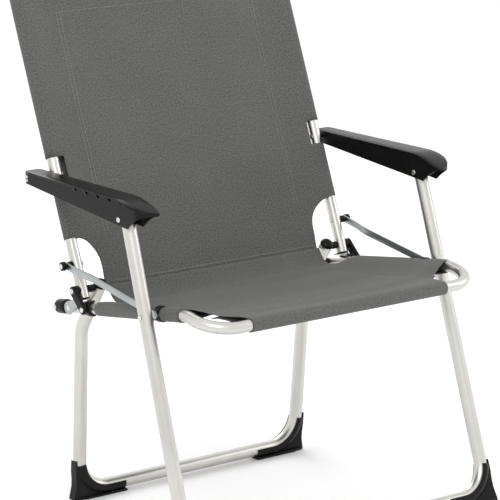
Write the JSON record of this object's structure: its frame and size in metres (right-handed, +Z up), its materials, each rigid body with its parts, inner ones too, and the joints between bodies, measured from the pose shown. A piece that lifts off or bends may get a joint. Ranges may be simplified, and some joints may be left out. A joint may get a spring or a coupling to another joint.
{
  "type": "folding camp chair",
  "caption": "Folding camp chair with tubular metal frames, a dark fabric sling seat and back, side struts and black plastic armrests and feet.",
  "frame": {"origin": "on the floor, under the centre of the bounding box of the open chair", "axes": "+Z up, +X to the right of a viewer in front of the chair, front of the chair towards -Y; YZ is the mirror plane"},
  "size_m": [0.6362, 0.5624, 0.8698],
  "materials": {
    "anodised_aluminium": "satin anodised",
    "flattened_aluminium": "satin",
    "black_plastic": "satin moulded",
    "bright_steel": "plated",
    "grey_fabric": "woven"
  },
  "bodies": {
    "seat": {"seat_frame": "anodised_aluminium", "seat_fabric": "grey_fabric", "seat_rail_cap_left": "black_plastic", "seat_rail_cap_right": "black_plastic", "cap_screw_left": "bright_steel", "cap_screw_right": "bright_steel", "seat_pivot_saddle_left": "black_plastic", "seat_pivot_saddle_right": "black_plastic", "seat_pivot_bolt_left": "bright_steel", "seat_pivot_bolt_right": "bright_steel", "rear_hinge_spacer_left": "black_plastic", "rear_hinge_spacer_right": "black_plastic", "link_rest_saddle_left": "black_plastic", "link_rest_saddle_right": "black_plastic"},
    "rear_legs": {"rear_leg_frame": "anodised_aluminium", "rear_leg_cap_left": "black_plastic", "rear_leg_cap_right": "black_plastic", "rear_foot_left": "black_plastic", "rear_foot_right": "black_plastic", "hinge_plate_left": "flattened_aluminium", "hinge_plate_right": "flattened_aluminium", "rear_hinge_bolt_left": "bright_steel", "rear_hinge_bolt_right": "bright_steel"},
    "back": {"back_frame": "anodised_aluminium", "back_fabric": "grey_fabric", "back_tube_plug_left": "black_plastic", "back_tube_plug_right": "black_plastic", "back_hinge_bolt_left": "bright_steel", "back_hinge_bolt_right": "bright_steel", "back_hinge_spacer_left": "black_plastic", "back_hinge_spacer_right": "black_plastic", "back_hinge_saddle_left": "black_plastic", "back_hinge_saddle_right": "black_plastic", "hinge_link_left": "black_plastic", "hinge_link_right": "black_plastic", "link_rivet_left": "bright_steel", "link_rivet_right": "bright_steel", "strut_bolt_left": "bright_steel", "strut_bolt_right": "bright_steel", "strut_washer_left": "black_plastic", "strut_washer_right": "black_plastic", "strut_knob_left": "black_plastic", "strut_knob_right": "black_plastic", "armrest_spacer_left": "black_plastic", "armrest_spacer_right": "black_plastic", "armrest_rear_rivet_left": "bright_steel", "armrest_rear_rivet_right": "bright_steel"},
    "front_legs": {"front_leg_frame": "anodised_aluminium", "front_foot_left": "black_plastic", "front_foot_right": "black_plastic", "front_leg_plug_left": "black_plastic", "front_leg_plug_right": "black_plastic"},
    "armrest_left": {"armrest_left": "black_plastic", "armrest_front_rivet_left": "bright_steel"},
    "strut_left": {"side_strut_left": "flattened_aluminium"},
    "armrest_right": {"armrest_right": "black_plastic", "armrest_front_rivet_right": "bright_steel"},
    "strut_right": {"side_strut_right": "flattened_aluminium"}
  },
  "joints": [
    {"name": "rear_leg_fold", "type": "hinge", "parent": "seat", "child": "rear_legs", "pos_m": [0, 0.10142, 0.3441], "axis": [-1, 0, 0], "range_deg": [0, 98]},
    {"name": "back_fold", "type": "hinge", "parent": "rear_legs", "child": "back", "pos_m": [0, 0.07881, 0.377], "axis": [1, 0, 0], "range_deg": [0, 195.4]},
    {"name": "front_leg_fold", "type": "hinge", "parent": "seat", "child": "front_legs", "pos_m": [0, -0.14059, 0.3823], "axis": [1, 0, 0], "range_deg": [0, 93.8]},
    {"name": "left_armrest_fold", "type": "hinge", "parent": "front_legs", "child": "armrest_left", "pos_m": [-0.294, -0.09255, 0.52756], "axis": [-1, 0, 0], "range_deg": [0, 102.6]},
    {"name": "left_strut_fold", "type": "hinge", "parent": "seat", "child": "strut_left", "pos_m": [-0.294, -0.14059, 0.3823], "axis": [-1, 0, 0], "range_deg": [0, 11.1]},
    {"name": "right_armrest_fold", "type": "hinge", "parent": "front_legs", "child": "armrest_right", "pos_m": [0.294, -0.09255, 0.52756], "axis": [-1, 0, 0], "range_deg": [0, 102.6]},
    {"name": "right_strut_fold", "type": "hinge", "parent": "seat", "child": "strut_right", "pos_m": [0.294, -0.14059, 0.3823], "axis": [-1, 0, 0], "range_deg": [0, 11.1]}
  ],
  "couplings": [
    {"joint": "back_fold", "follows": "rear_leg_fold", "ratio": 1.9885},
    {"joint": "front_leg_fold", "follows": "rear_leg_fold", "ratio": 0.952},
    {"joint": "left_armrest_fold", "follows": "rear_leg_fold", "ratio": 1.0414},
    {"joint": "left_strut_fold", "follows": "rear_leg_fold", "ratio": 0.1072},
    {"joint": "right_armrest_fold", "follows": "rear_leg_fold", "ratio": 1.0414},
    {"joint": "right_strut_fold", "follows": "rear_leg_fold", "ratio": 0.1072}
  ]
}
